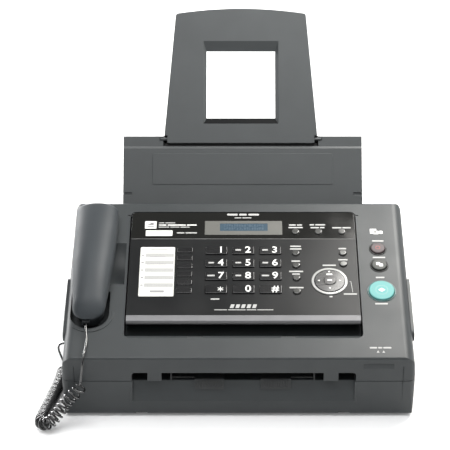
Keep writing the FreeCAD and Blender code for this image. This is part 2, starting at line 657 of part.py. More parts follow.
def control_panel():
    """Panel shell with openings for every key, pivot pins and a carrier plate under the keys."""
    x0, x1, y0, y1 = PANEL
    outline = [(x0, y0, 0.5), (x1, y0, 0.5), (x1, y1, 7.0), (x0, y1, 7.0)]
    outer = slab_x(panel_profile(0), x0, x1).common(slab_z(outline, -40, 10))
    inner = slab_x(panel_profile(WALL), x0 + WALL, x1 - WALL)
    inner = inner.common(box(x0 + WALL, x1 - WALL, y0 + WALL, y1 - 8.0, -40, 10))
    carrier = box(x0 + 1.0, x1 - 1.0, y0 + 1.0, y1 - 14.0, -11.6, -9.6)
    pins = [rod_x(x0 - 3.2, x0 + 3.0, *PANEL_PIVOT, 2.0), rod_x(x1 - 3.0, x1 + 3.2, *PANEL_PIVOT, 2.0)]
    panel = joined([outer.cut(inner), carrier] + pins)
    cuts = [box(*LCD, -6.0, 5.0), box(*CARD, PANEL_TOP - 0.6, 5.0)]
    for bounds in key_places().values():
        cuts.append(pad(*grown(bounds, KEY_GAP), -4.0, 5.0, 1.2))
    for x, y in ROUND_PLACES:
        cuts.append(rod_z(x, y, -4.0, 5.0, ROUND_R + KEY_GAP))
    cuts.append(rod_z(*NAVIGATOR, -4.0, 5.0, NAV_RING[0]))
    return on_cover(panel.cut(Part.makeCompound(cuts)))


def front_strip():
    x0, x1 = PANEL[0], PANEL[1]
    y = PANEL[2] - 0.05
    strip = slab_x([(y, PANEL_TOP, 0), (y, -7.0, 0), (y - 7.5, -7.0, 1.5),
                    (y - 10.6, -2.4, 2.0), (y - 8.6, 1.6, 2.5)],
                   x0, x1)
    return on_cover(strip)


def navigator_ring():
    ring = rod_z(*NAVIGATOR, PANEL_TOP, PANEL_TOP + 1.4, NAV_RING[1])
    ring = ring.makeFillet(0.9, [edge for edge in ring.Edges if edge.BoundBox.ZMin > PANEL_TOP + 1.3])
    return on_cover(ring.cut(rod_z(*NAVIGATOR, 0, 9, NAV_RING[0])))


def lcd_module():
    x0, x1, y0, y1 = grown(LCD, -0.1)
    frame = pad(x0, x1, y0, y1, -5.5, PANEL_TOP + 0.4, 1.0)
    return on_cover(frame.cut(box(-24.5, 38.0, 216.2, 229.8, PANEL_TOP - 1.0, 9)))


def directory_card():
    return on_cover(pad(*grown(CARD, -0.3), PANEL_TOP - 0.6, PANEL_TOP + 0.1, 1.5))


def cap(bounds, top, radius, edge_round):
    shape = pad(*bounds, -3.2, top, radius)
    rim = [edge for edge in shape.Edges if edge.BoundBox.ZMin > top - 0.01]
    return on_cover(shape.makeFillet(edge_round, rim))


def round_cap(x, y, radius, top, edge_round, low=-3.2):
    shape = rod_z(x, y, low, top, radius)
    return shape.makeFillet(edge_round, [edge for edge in shape.Edges if edge.BoundBox.ZMin > top - 0.01])


def navigator_pad():
    disc = round_cap(*NAVIGATOR, NAV_PAD_R, PANEL_TOP + 2.0, 1.0)
    return on_cover(disc.cut(rod_z(*NAVIGATOR, -9, 9, SET_R + KEY_GAP)))


def buttons():
    parts = {}
    for name, bounds in key_places().items():
        proud = KEY_PROUD if name.startswith("key") else 1.0
        parts[name] = cap(bounds, PANEL_TOP + proud, 1.0, 0.6)
    for i, (x, y) in enumerate(ROUND_PLACES):
        parts["function_button_%d" % (i + 1)] = on_cover(round_cap(x, y, ROUND_R, PANEL_TOP + 2.2, 1.4))
    parts["navigator_pad"] = navigator_pad()
    parts["set_button"] = on_cover(round_cap(*NAVIGATOR, SET_R, PANEL_TOP + 2.8, 0.9))
    for name, (x, y, radius) in RIGHT_BUTTONS.items():
        parts[name] = on_cover(round_cap(x, y, radius, 2.8, 1.6, -6.0))
    return parts


# ---- handset ------------------------------------------------------------------------
def handset_side(inset):
    """Side outline of the handset: arched grip between a mouth block and an ear block."""
    f, b = HANDSET_FRONT + inset, HANDSET_BACK - inset
    ear, mouth = 196.5 + inset, 105.5 - inset
    low = -14.5 + inset
    return [(f, low + 3.0, 4.0), (f, 18.0 - inset, 9.0 - inset), (f + 42.0, 30.0 - inset, 40.0),
            (150.0, 35.0 - inset, 120.0), (b - 46.0, 31.0 - inset, 50.0), (b, 25.0 - inset, 9.0 - inset),
            (b, low, 4.0), (ear, low, 4.0), (ear - 8.0, 9.0 + inset, 12.0), (150.0, 14.0 + inset, 60.0),
            (mouth + 8.0, 9.0 + inset, 12.0), (mouth, low, 4.0), (f + 6.0, low, 2.0)]


def handset_plan(inset):
    half_front, half_back = 23.4 - inset, 25.4 - inset
    x = HANDSET_X
    f, b = HANDSET_FRONT + inset, HANDSET_BACK - inset
    return [(x - half_front - 0.6, f, half_front - 1.5), (x + half_front - 0.6, f, half_front - 1.5),
            (x + half_back, b, 9.0 - inset), (x - half_back, b, 9.0 - inset)]


def handset_section(inset, narrow):
    half = 25.6 - inset
    foot = half - narrow
    x = HANDSET_X
    return [(x - foot, -20.0, 0), (x + foot, -20.0, 0),
            (x + foot, HANDSET_SPLIT, 0), (x + half, HANDSET_SPLIT, 0),
            (x + half, 36.0 - inset, 14.0), (x - half, 36.0 - inset, 14.0), (x - half, HANDSET_SPLIT, 0),
            (x - foot, HANDSET_SPLIT, 0)]


def handset_body(inset):
    body = slab_x(handset_side(inset), HANDSET_X - 40, HANDSET_X + 40)
    body = body.common(slab_z(handset_plan(inset), -30, 50))
    return body.common(slab_y(handset_section(inset, 2.4), 40, 270))


def handset_shells():
    walls = handset_body(0).cut(handset_body(WALL))
    upper = walls.common(box(-230, -140, 40, 270, HANDSET_SPLIT + 6.0, 60))
    lower = walls.common(box(-230, -140, 40, 270, -30, HANDSET_SPLIT + 6.0))
    holes = []
    for centre_y in (81.0, 222.0):
        for i in range(6):
            turn = math.radians(i * 60)
            holes.append(rod_z(HANDSET_X + 6 * math.cos(turn), centre_y + 6 * math.sin(turn), -20, -8, 1.0))
    lower = lower.cut(Part.makeCompound(holes))
    lower = lower.cut(box(-193.8, -184.2, 50, 66, PLUG_LOW - 0.2, PLUG_LOW + 7.4))
    return on_cover(upper), on_cover(lower)


PLUG_LOW = 0.4


def handset_plug():
    body = box(-193.6, -184.4, HANDSET_FRONT - 5.0, HANDSET_FRONT + 7.0, PLUG_LOW, PLUG_LOW + 7.2)
    tab = box(-190.5, -187.5, HANDSET_FRONT - 4.0, HANDSET_FRONT - 0.3, PLUG_LOW - 1.0, PLUG_LOW)
    return on_cover(joined([body, tab]))


# ---- handset cord -------------------------------------------------------------------
JACK = (150.0, 22.0)
TAIL_ROUTE = [(-189.0, 47.49, 104.54), (-189.0, 39.04, 101.47), (-186.6, 26.0, 96.0), (-187.2, 12.5, 91.8),
              (-188.4, -2.0, 90.0), (-189.6, -9.6, 81.0), (-190.8, -10.6, 68.8), (-192.36, -12.94, 57.3)]
CURL_ROUTE = [(-192.4, -13.0, 57.0), (-193.76, -15.04, 47.2), (-203.5, -16.5, 40.5),
              (-214.0, -21.5, 29.0), (-226.8, -33.5, 14.2), (-236.0, -33.8, 9.8),
              (-242.2, -26.6, 9.0), (-239.0, -5.0, 9.0), (-233.2, 30.0, 9.0), (-228.6, 60.0, 9.0),
              (-225.2, 84.0, 9.1), (-224.9, 104.0, 10.0)]
LEAD_ROUTE = [(-224.9, 104.0, 10.0), (-224.77, 112.7, 10.4), (-237.7, 142.6, 19.5),
              (-232.5, 150.0, 22.0), (-225.0, 150.0, 22.0)]


def cord_tube(name, route, diameter):
    """Round tube along straight runs joined by tangent arcs; prints its arc radii and length."""
    points = [V(*p) for p in route]
    edges = []
    last = points[0]
    radii = []
    for before, here, after in zip(points, points[1:], points[2:]):
        back = (before - here).normalize()
        ahead = (after - here).normalize()
        half_turn = (math.pi - back.getAngle(ahead)) / 2
        share = CORD_ARC_SHARE * min((before - here).Length, (after - here).Length)
        radius = share / math.tan(half_turn)
        radii.append(round(radius, 1))
        apex = here + (back + ahead).normalize() * (radius / math.cos(half_turn) - radius)
        start, end = here + back * share, here + ahead * share
        edges.append(Part.LineSegment(last, start).toShape())
        edges.append(Part.Arc(start, apex, end).toShape())
        last = end
    edges.append(Part.LineSegment(last, points[-1]).toShape())
    path = Part.Wire(edges)
    heading = (points[1] - points[0]).normalize()
    ring = Part.Wire(Part.makeCircle(diameter / 2, points[0], heading))
    tube = path.makePipeShell([ring], True, True)
    ratio = tube.Volume / (path.Length * math.pi * diameter ** 2 / 4)
    print(name, "radii", radii, "length", round(path.Length, 1), "volume ratio", round(ratio, 4))
    return tube


def base_plug():
    y, z = JACK
    body = box(-225.0, -205.0, y - 5.0, y + 5.0, z - 4.0, z + 4.0)
    tab = box(-222.0, -213.0, y - 2.0, y + 2.0, z - 5.2, z - 4.0).common(box(-222, -218.4, 140, 160, 10, 30))
    return joined([body, tab])


# ---- assembly -----------------------------------------------------------------------
def build():
    left_guide, right_guide = document_guides()
    handset_top, handset_under = handset_shells()
    parts = {
        "base_housing": base_housing(), "rubber_feet": rubber_feet(), "case_screws": case_screws(),
        "laser_unit": laser_unit(), "toner_drum_unit": toner_drum_unit(), "fuser_unit": fuser_unit(),
        "main_board": main_board(), "exit_roller": exit_roller(), "pickup_roller": pickup_roller(),
        "document_guide_left": left_guide, "document_guide_right": right_guide,
        "guide_pinion": guide_pinion(),
        "paper_tray": on_tray(paper_tray()), "paper_tray_extension": on_tray(paper_tray_extension()),
        "top_cover": top_cover(), "hook_switch": hook_switch(), "control_panel": control_panel(),
        "front_strip": front_strip(), "navigator_ring": navigator_ring(), "lcd_module": lcd_module(),
        "directory_card": directory_card(),
        "handset_shell": handset_top, "handset_inner_shell": handset_under,
        "handset_plug": handset_plug(), "base_plug": base_plug(),
        "cord_tail": cord_tube("cord_tail", TAIL_ROUTE, CORD_WIRE),
        "cord_curl": cord_tube("cord_curl", CURL_ROUTE, CORD_COIL),
        "cord_lead": cord_tube("cord_lead", LEAD_ROUTE, CORD_WIRE),
    }
    parts.update(buttons())
    return parts


def main():
    os.makedirs("parts", exist_ok=True)
    for name, shape in build().items():
        shape.translate(V(0, FRONT_Y, 0))
        shape.exportStep("parts/" + name + ".step")
        state = "valid" if shape.isValid() else "INVALID"
        print(name, state, len(shape.Solids), "solid(s)", round(shape.Volume))


main()
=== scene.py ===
"""Looks for the desktop fax machine: camera, light, cords, finishes, printing and small fittings.

Places are in millimetres, in three frames. The case frame has y = 0 at the front face and z = 0 at
the feet. The deck frame lies on the sloping cover: x across, s up the slope from the front edge, h out
of the deck. The tray frame lies in the same way on the paper tray, from its foot. Lights and the sizes
inside a finish are in metres.
"""

import math

import bmesh
import bpy
from mathutils import Matrix, Vector

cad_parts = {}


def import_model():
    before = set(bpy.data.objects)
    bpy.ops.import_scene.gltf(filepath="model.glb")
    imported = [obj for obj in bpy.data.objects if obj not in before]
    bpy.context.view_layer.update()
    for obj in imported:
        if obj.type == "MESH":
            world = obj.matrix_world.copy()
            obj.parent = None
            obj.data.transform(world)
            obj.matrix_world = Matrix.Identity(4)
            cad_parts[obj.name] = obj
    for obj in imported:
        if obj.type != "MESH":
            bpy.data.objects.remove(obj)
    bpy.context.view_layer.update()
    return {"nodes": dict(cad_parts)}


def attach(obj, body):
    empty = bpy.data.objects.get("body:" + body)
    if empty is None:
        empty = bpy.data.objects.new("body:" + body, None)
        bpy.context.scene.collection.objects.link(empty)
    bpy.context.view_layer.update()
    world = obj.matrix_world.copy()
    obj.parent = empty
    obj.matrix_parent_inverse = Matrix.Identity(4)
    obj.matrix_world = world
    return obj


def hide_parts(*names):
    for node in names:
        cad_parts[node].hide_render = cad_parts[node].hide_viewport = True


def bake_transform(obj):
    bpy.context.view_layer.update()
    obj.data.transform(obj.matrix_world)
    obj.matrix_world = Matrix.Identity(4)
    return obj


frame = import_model()
NODES = frame["nodes"]

MM = 0.001
FRONT_Y = -211.8
DECK_EDGE_Z = 83.0
DECK_SLOPE = 20.0
TRAY_FOOT = (324.0, 243.8)
TRAY_ANGLE = 57.0

CASE = Matrix.Scale(MM, 4) @ Matrix.Translation((0, FRONT_Y, 0))
DECK = CASE @ Matrix.Translation((0, 0, DECK_EDGE_Z)) @ Matrix.Rotation(math.radians(DECK_SLOPE), 4, "X")
TRAY = CASE @ Matrix.Translation((0, *TRAY_FOOT)) @ Matrix.Rotation(math.radians(TRAY_ANGLE), 4, "X")

CORD_WIRE = 2.8
CORD_COIL = 17.0
TURN_POINTS = 16
HANGING_PART = 0.40
HANGING_PITCH = (8.2, 4.4)
LYING_PITCH = 3.05
COIL_GROWTH = 8.0
COIL_END = 7.0
ROUTE_STEPS = 12
COIL_STEPS = 3
TAIL_ROUTE = [(-189.0, 47.49, 104.54), (-189.0, 39.04, 101.47), (-186.6, 26.0, 96.0), (-187.2, 12.5, 91.8),
              (-188.4, -2.0, 90.0), (-189.6, -9.6, 81.0), (-190.8, -10.6, 68.8), (-192.36, -12.94, 57.3)]
CURL_ROUTE = [(-192.4, -13.0, 57.0), (-193.76, -15.04, 47.2), (-203.5, -16.5, 40.5),
              (-214.0, -21.5, 29.0), (-226.8, -33.5, 14.2), (-236.0, -33.8, 9.8),
              (-242.2, -26.6, 9.0), (-239.0, -5.0, 9.0), (-233.2, 30.0, 9.0), (-228.6, 60.0, 9.0),
              (-225.2, 84.0, 9.1), (-224.9, 104.0, 10.0)]
LEAD_ROUTE = [(-224.9, 104.0, 10.0), (-224.77, 112.7, 10.4), (-237.7, 142.6, 19.5),
              (-232.5, 150.0, 22.0), (-225.0, 150.0, 22.0)]


def case_point(place):
    return CASE @ Vector(place)


def box_in(matrix, node):
    """Lowest and highest corner of a CAD node in the deck or tray frame, in millimetres."""
    inverse = matrix.inverted()
    points = [inverse @ vertex.co for vertex in NODES[node].data.vertices]
    low = Vector([min(point[i] for point in points) for i in range(3)])
    high = Vector([max(point[i] for point in points) for i in range(3)])
    return low, high


# ---- camera, floor and light -----------------------------------------------------------
CAMERA_PLACE = (0, -1843.6, 1122.1)
CAMERA_PITCH = 25.0
CAMERA_LENS = 138.56
CAMERA_SHIFT = -0.0302
SENSOR_WIDTH = 36.0


def camera():
    data = bpy.data.cameras.new("camera")
    data.lens = CAMERA_LENS
    data.sensor_width = SENSOR_WIDTH
    data.clip_end = 60.0
    data.shift_x = CAMERA_SHIFT
    view = bpy.data.objects.new("camera", data)
    view.location = case_point(CAMERA_PLACE)
    view.rotation_euler = (math.radians(90.0 - CAMERA_PITCH), 0, 0)
    bpy.context.scene.collection.objects.link(view)
    bpy.context.scene.camera = view


def softbox(name, place, target, size, power, tint=(1.0, 1.0, 1.0)):
    data = bpy.data.lights.new(name, "AREA")
    data.shape = "RECTANGLE"
    data.size, data.size_y = size
    data.energy = power
    data.color = tint
    light = bpy.data.objects.new(name, data)
    light.location = place
    light.rotation_euler = (Vector(target) - Vector(place)).to_track_quat("-Z", "Y").to_euler()
    bpy.context.scene.collection.objects.link(light)


def world(dim, bright):
    """Bright paper low down behind the object, dimmer room overhead and in front."""
    data = bpy.data.worlds.new("studio")
    data.use_nodes = True
    tree = data.node_tree
    background = tree.nodes["Background"]
    background.inputs["Color"].default_value = (0.97, 0.985, 1.0, 1.0)
    direction = tree.nodes.new("ShaderNodeTexCoord").outputs["Generated"]
    axes = tree.nodes.new("ShaderNodeSeparateXYZ")
    tree.links.new(direction, axes.inputs["Vector"])
    factors = []
    for axis, low, high in (("Z", 0.62, 0.22), ("Y", -0.1, 0.45)):
        spread = tree.nodes.new("ShaderNodeMapRange")
        spread.interpolation_type = "SMOOTHSTEP"
        spread.inputs["From Min"].default_value = low
        spread.inputs["From Max"].default_value = high
        tree.links.new(axes.outputs[axis], spread.inputs["Value"])
        factors.append(spread.outputs["Result"])
    both = tree.nodes.new("ShaderNodeMath")
    both.operation = "MULTIPLY"
    tree.links.new(factors[0], both.inputs[0])
    tree.links.new(factors[1], both.inputs[1])
    strength = tree.nodes.new("ShaderNodeMapRange")
    strength.inputs["To Min"].default_value = dim
    strength.inputs["To Max"].default_value = bright
    tree.links.new(both.outputs["Value"], strength.inputs["Value"])
    tree.links.new(strength.outputs["Result"], background.inputs["Strength"])
    bpy.context.scene.world = data


def studio():
    centre = (0.0, 0.0, 0.1)
    world(0.26, 1.5)
    softbox("sheen_softbox", (0.42, 0.28, 0.85), (0.12, -0.05, 0.12), (0.34, 0.50), 12.0, (1.0, 0.98, 0.94))
    softbox("left_back_panel", (-1.1, 2.1, 0.5), centre, (2.6, 0.95), 95.0)
    softbox("top_softbox", (-0.3, -0.5, 2.3), centre, (2.2, 1.4), 45.0)
    softbox("front_high", (0.3, -2.3, 2.2), centre, (1.6, 1.0), 6.0)
    bpy.context.scene.view_settings.view_transform = "Standard"


# ---- node materials ---------------------------------------------------------------------
class Finish:
    """A node material built up step by step round one Principled shader."""

    def __init__(self, name, colour, roughness, metallic=0.0, specular=0.5):
        self.material = bpy.data.materials.new(name)
        self.material.use_nodes = True
        self.tree = self.material.node_tree
        self.shader = self.tree.nodes["Principled BSDF"]
        self.colour = (*colour, 1.0)
        self.base = self.colour
        self.set("Base Color", self.colour)
        self.set("Roughness", roughness)
        self.set("Metallic", metallic)
        self.set("Specular IOR Level", specular)
        self.coordinates = self.node("ShaderNodeTexCoord").outputs["Object"]
        self.normal = None

    def node(self, kind, **settings):
        made = self.tree.nodes.new(kind)
        for name, value in settings.items():
            setattr(made, name, value)
        return made

    def link(self, source, target):
        self.tree.links.new(source, target)

    def set(self, socket, value):
        self.shader.inputs[socket].default_value = value

    def noise(self, size, detail=3.0, roughness=0.5, stretch=(1, 1, 1)):
        """Noise whose features are about size metres across."""
        mapping = self.node("ShaderNodeMapping")
        mapping.inputs["Scale"].default_value = stretch
        self.link(self.coordinates, mapping.inputs["Vector"])
        texture = self.node("ShaderNodeTexNoise")
        texture.inputs["Scale"].default_value = 1.0 / size
        texture.inputs["Detail"].default_value = detail
        texture.inputs["Roughness"].default_value = roughness
        self.link(mapping.outputs["Vector"], texture.inputs["Vector"])
        return texture.outputs["Fac"]

    def ramp(self, value, low, high, low_value, high_value):
        """Maps value from low..high to low_value..high_value."""
        spread = self.node("ShaderNodeMapRange")
        for socket, number in zip(("From Min", "From Max", "To Min", "To Max"),
                                  (low, high, low_value, high_value)):
            spread.inputs[socket].default_value = number
        self.link(value, spread.inputs["Value"])
        return spread.outputs["Result"]

    def blend_colour(self, amount, first, second):
        mix = self.node("ShaderNodeMix", data_type="RGBA")
        sockets = [s for s in mix.inputs if s.type == "RGBA"]
        for socket, value in zip(sockets, (first, second)):
            if isinstance(value, tuple):
                socket.default_value = value if len(value) == 4 else (*value, 1.0)
            else:
                self.link(value, socket)
        self.link(amount, mix.inputs["Factor"])
        return [s for s in mix.outputs if s.type == "RGBA"][0]

    def mottle(self, size, share):
        """Slow lighter and darker drift of the base colour."""
        dark = tuple(c * (1.0 - share) for c in self.colour[:3])
        light = tuple(min(1.0, c * (1.0 + share)) for c in self.colour[:3])
        amount = self.ramp(self.noise(size), 0.3, 0.7, 0.0, 1.0)
        self.base = self.blend_colour(amount, dark, light)
        self.link(self.base, self.shader.inputs["Base Color"])
        return self

    def polish(self, size, low, high):
        """Roughness that drifts between low and high."""
        self.link(self.ramp(self.noise(size, 4.0), 0.3, 0.7, low, high), self.shader.inputs["Roughness"])
        return self

    def grain(self, size, depth, stretch=(1, 1, 1), detail=2.0):
        """Fine surface relief, depth in metres."""
        bump = self.node("ShaderNodeBump")
        bump.inputs["Strength"].default_value = 1.0
        bump.inputs["Distance"].default_value = depth
        self.link(self.noise(size, detail, 0.6, stretch), bump.inputs["Height"])
        if self.normal is not None:
            self.link(self.normal, bump.inputs["Normal"])
        self.normal = bump.outputs["Normal"]
        self.link(self.normal, self.shader.inputs["Normal"])
        return self

    def soft_edges(self, radius):
        """Catches light along edges as a moulded corner does."""
        bevel = self.node("ShaderNodeBevel", samples=4)
        bevel.inputs["Radius"].default_value = radius
        self.normal = bevel.outputs["Normal"]
        self.link(self.normal, self.shader.inputs["Normal"])
        return self

    def wear(self, radius, colour, amount):
        """Rubbed, paler edges: where the rounded normal leaves the true one."""
        bevel = self.node("ShaderNodeBevel", samples=4)
        bevel.inputs["Radius"].default_value = radius
        geometry = self.node("ShaderNodeNewGeometry")
        dot = self.node("ShaderNodeVectorMath", operation="DOT_PRODUCT")
        self.link(bevel.outputs["Normal"], dot.inputs[0])
        self.link(geometry.outputs["Normal"], dot.inputs[1])
        edge = self.ramp(dot.outputs["Value"], 0.97, 0.80, 0.0, amount)
        broken = self.node("ShaderNodeMath", operation="MULTIPLY")
        self.link(edge, broken.inputs[0])
        self.link(self.ramp(self.noise(0.004, 4.0), 0.35, 0.65, 0.3, 1.0), broken.inputs[1])
        self.base = self.blend_colour(broken.outputs["Value"], self.base, (*colour, 1.0))
        self.link(self.base, self.shader.inputs["Base Color"])
        return self

    def coat(self, weight, roughness):
        self.set("Coat Weight", weight)
        self.set("Coat Roughness", roughness)
        return self


def moulded(name, colour, roughness, grain_depth=0.00003, edge=0.0005, specular=0.5):
    """Fine textured moulded plastic with rubbed edges."""
    finish = Finish(name, colour, roughness, specular=specular)
    finish.mottle(0.035, 0.05).polish(0.05, roughness - 0.04, roughness + 0.05)
    finish.wear(0.0007, tuple(min(1.0, c * 1.9 + 0.02) for c in colour), 0.35)
    finish.soft_edges(edge).grain(0.0009, grain_depth)
    return finish.material


def glossy(name, colour, roughness, coat=0.6, specular=0.5):
    finish = Finish(name, colour, roughness, specular=specular)
    finish.mottle(0.05, 0.06).polish(0.03, roughness - 0.03, roughness + 0.05)
    finish.soft_edges(0.0004).grain(0.004, 0.00001)
    finish.coat(coat, 0.08)
    return finish.material


def brushed_silver():
    finish = Finish("silver_trim_finish", (0.155, 0.155, 0.16), 0.38, metallic=0.35)
    finish.mottle(0.03, 0.05).polish(0.02, 0.32, 0.44)
    finish.soft_edges(0.0006).grain(0.0012, 0.00002, stretch=(0.05, 1, 1))
    return finish.material


def rubber(name, colour):
    finish = Finish(name, colour, 0.8)
    finish.mottle(0.01, 0.15).polish(0.02, 0.7, 0.9).grain(0.0008, 0.00008)
    return finish.material


def steel():
    finish = Finish("screw_steel_finish", (0.42, 0.41, 0.40), 0.35, metallic=1.0)
    finish.mottle(0.004, 0.12).polish(0.004, 0.28, 0.45).grain(0.0015, 0.00003, stretch=(1, 0.2, 1))
    return finish.material


BOARD_TOP = (0.0107, 0.0109)


def circuit_board():
    """Green solder mask on the flat board, black plastic on the sockets and chips above BOARD_TOP."""
    finish = Finish("board_green_finish", (0.01, 0.05, 0.02), 0.4)
    finish.mottle(0.012, 0.35).polish(0.01, 0.3, 0.5).grain(0.0025, 0.00006)
    axes = finish.node("ShaderNodeSeparateXYZ")
    finish.link(finish.node("ShaderNodeTexCoord").outputs["Object"], axes.inputs["Vector"])
    above = finish.ramp(axes.outputs["Z"], *BOARD_TOP, 0.0, 1.0)
    finish.base = finish.blend_colour(above, finish.base, (0.012, 0.012, 0.012))
    finish.link(finish.base, finish.shader.inputs["Base Color"])
    return finish.material


def card_paper():
    finish = Finish("card_paper_finish", (0.72, 0.72, 0.69), 0.75)
    finish.mottle(0.02, 0.03).polish(0.01, 0.65, 0.85).grain(0.0006, 0.00004, detail=4.0)
    return finish.material


def clear_plug():
    finish = Finish("clear_plug_finish", (0.03, 0.033, 0.036), 0.15)
    finish.mottle(0.006, 0.2).polish(0.005, 0.08, 0.22).grain(0.003, 0.00003)
    finish.set("Transmission Weight", 0.55)
    finish.set("IOR", 1.46)
    return finish.material


def cord_jacket():
    finish = Finish("cord_jacket_finish", (0.006, 0.006, 0.0065), 0.18)
    finish.mottle(0.01, 0.2).polish(0.006, 0.12, 0.24).grain(0.0015, 0.00001)
    finish.coat(1.0, 0.06)
    return finish.material


def printed(name, colour, roughness=0.5):
    """Screen-printed ink: slightly broken cover over the plastic."""
    finish = Finish(name, colour, roughness)
    finish.mottle(0.0015, 0.07).polish(0.003, roughness - 0.08, roughness + 0.08)
    finish.grain(0.0006, 0.00002, detail=4.0)
    return finish.material


def floor_finish():
    finish = Finish("floor_paper", (0.93, 0.93, 0.93), 0.9, specular=0.2)
    finish.set("Emission Color", (1.0, 1.0, 1.0, 1.0))
    finish.set("Emission Strength", 0.12)
    finish.mottle(0.6, 0.01).polish(0.2, 0.85, 0.95).grain(0.004, 0.00001)
    return finish.material


CASE_GREY = (0.039, 0.0435, 0.0455)
MATERIALS = {
    "case_plastic": moulded("case_plastic_finish", CASE_GREY, 0.44, specular=0.33),
    "tray_plastic": moulded("tray_plastic_finish", (0.043, 0.048, 0.050), 0.46),
    "panel_plastic": moulded("panel_plastic_finish", (0.007, 0.0075, 0.008), 0.34, 0.000012,
                             specular=0.25),
    "silver_trim": brushed_silver(),
    "lcd_bezel": moulded("lcd_bezel_finish", (0.105, 0.105, 0.095), 0.42, 0.00001),
    "card_paper": card_paper(),
    "handset_plastic": moulded("handset_plastic_finish", (0.034, 0.040, 0.045), 0.58, 0.000012,
                               specular=0.36),
    "guide_plastic": moulded("guide_plastic_finish", (0.036, 0.038, 0.039), 0.42),
    "clear_plug": clear_plug(),
    "cord_black": cord_jacket(),
    "foot_rubber": rubber("foot_rubber_finish", (0.015, 0.015, 0.015)),
    "screw_steel": steel(),
    "unit_plastic": moulded("unit_plastic_finish", (0.025, 0.026, 0.028), 0.5),
    "board_green": circuit_board(),
    "roller_rubber": rubber("roller_rubber_finish", (0.05, 0.05, 0.052)),
    "key_black": glossy("key_black_finish", (0.006, 0.006, 0.0065), 0.24, 0.3),
    "button_grey": glossy("button_grey_finish", (0.055, 0.055, 0.052), 0.2),
    "stop_mauve": glossy("stop_mauve_finish", (0.085, 0.068, 0.071), 0.5, 0.03, 0.25),
    "copy_grey": glossy("copy_grey_finish", (0.055, 0.058, 0.053), 0.5, 0.03, 0.25),
    "start_teal": glossy("start_teal_finish", (0.11, 0.33, 0.318), 0.5, 0.05, 0.25),
}
# Painted shade: near-black finish for the sheet in the tray's notch.
PAINTED_SHADE_BLACK = moulded("painted_shade_black_finish", (0.004, 0.004, 0.004), 0.6)
# Painted shade: dark finish for the sheet on the extension window's lower bevel.
BEVEL_PAINTED_SHADE = moulded("bevel_painted_shade_finish", (0.004, 0.0045, 0.005), 0.6, specular=0.1)
INK_WHITE = printed("ink_white", (0.74, 0.74, 0.72))
INK_SOFT = printed("ink_soft", (0.42, 0.42, 0.41))
INK_GREY = printed("ink_grey", (0.17, 0.17, 0.17))
# Painted shade: black for the discs that stand for the handset's sound holes.
HOLE_PAINTED_SHADE = printed("hole_painted_shade", (0.02, 0.02, 0.02))
INK_TEAL = printed("ink_teal", (0.22, 0.40, 0.39))
INK_RED = printed("ink_red", (0.35, 0.06, 0.05))
LCD_CELL = printed("lcd_cell", (0.045, 0.075, 0.105), 0.3)
CARD_GREY = printed("card_grey", (0.42, 0.42, 0.41), 0.7)
CARD_LINE = printed("card_line", (0.30, 0.30, 0.30), 0.7)
RING_WHITE = glossy("ring_white_finish", (0.34, 0.34, 0.33), 0.3)
BAND_GLOSS = glossy("band_gloss_finish", (0.008, 0.008, 0.007), 0.12, 0.15, 0.4)
RING_TEAL = glossy("ring_teal_finish", (0.015, 0.075, 0.075), 0.3)
RING_DARK = moulded("ring_dark_finish", (0.006, 0.006, 0.006), 0.35, 0.00001)
LCD_GLASS = glossy("lcd_glass_finish", (0.05, 0.082, 0.11), 0.16, 0.3)


def finish_nodes():
    """Each CAD node comes in with a plain material named as its slot in the record."""
    for node in NODES.values():
        slots = [material.name.split(".")[0] for material in node.data.materials]
        for i, slot in enumerate(slots):
            node.data.materials[i] = MATERIALS[slot]


# ---- mesh helpers -----------------------------------------------------------------------
def piece(name, mesh, material, body):
    mesh.materials.clear()
    mesh.materials.append(material)
    made = bpy.data.objects.new(name, mesh)
    bpy.context.scene.collection.objects.link(made)
    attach(made, body)
    return made


def mesh_piece(name, bm, material, body, matrix=DECK, smooth=False):
    """A piece from millimetre geometry in one of the frames."""
    bmesh.ops.recalc_face_normals(bm, faces=bm.faces)
    bm.transform(matrix)
    mesh = bpy.data.meshes.new(name)
    bm.to_mesh(mesh)
    bm.free()
    for polygon in mesh.polygons:
        polygon.use_smooth = smooth
    return piece(name, mesh, material, body)


MARK_SINK = 0.05


def solid_between(bm, floor_ring, roof_ring):
    """Closes a solid between two matching rings of vertices."""
    bm.faces.new(list(reversed(floor_ring)))
    bm.faces.new(roof_ring)
    for i in range(len(floor_ring)):
        j = (i + 1) % len(floor_ring)
        bm.faces.new((floor_ring[i], floor_ring[j], roof_ring[j], roof_ring[i]))


def prism(bm, outline, low, high):
    floor_ring = [bm.verts.new((x, y, low)) for x, y in outline]
    roof_ring = [bm.verts.new((x, y, high)) for x, y in outline]
    solid_between(bm, floor_ring, roof_ring)


def lathe(bm, centre, profile, steps=64):
    """Closed ring: profile is (radius, height) points round a vertical axis through centre."""
    rings = []
    for i in range(steps):
        turn = math.tau * i / steps
        rings.append([bm.verts.new((centre[0] + r * math.cos(turn), centre[1] + r * math.sin(turn), h))
                      for r, h in profile])
    count = len(profile)
    for i in range(steps):
        for k in range(count):
            here, there = rings[i], rings[(i + 1) % steps]
            bm.faces.new((here[k], here[(k + 1) % count], there[(k + 1) % count], there[k]))


def rounded(x0, x1, y0, y1, radius, steps=5):
    corners = ((x1 - radius, y0 + radius, -90), (x1 - radius, y1 - radius, 0),
               (x0 + radius, y1 - radius, 90), (x0 + radius, y0 + radius, 180))
    points = []
    for cx, cy, start in corners:
        for i in range(steps + 1):
            turn = math.radians(start + 90.0 * i / steps)
            points.append((cx + radius * math.cos(turn), cy + radius * math.sin(turn)))
    return points


def disc(x, y, radius, steps=32):
    turns = [math.tau * i / steps for i in range(steps)]
    return [(x + radius * math.cos(turn), y + radius * math.sin(turn)) for turn in turns]


def bar(x, y, length, height):
    return rounded(x - length / 2, x + length / 2, y - height / 2, y + height / 2, height * 0.3, 2)


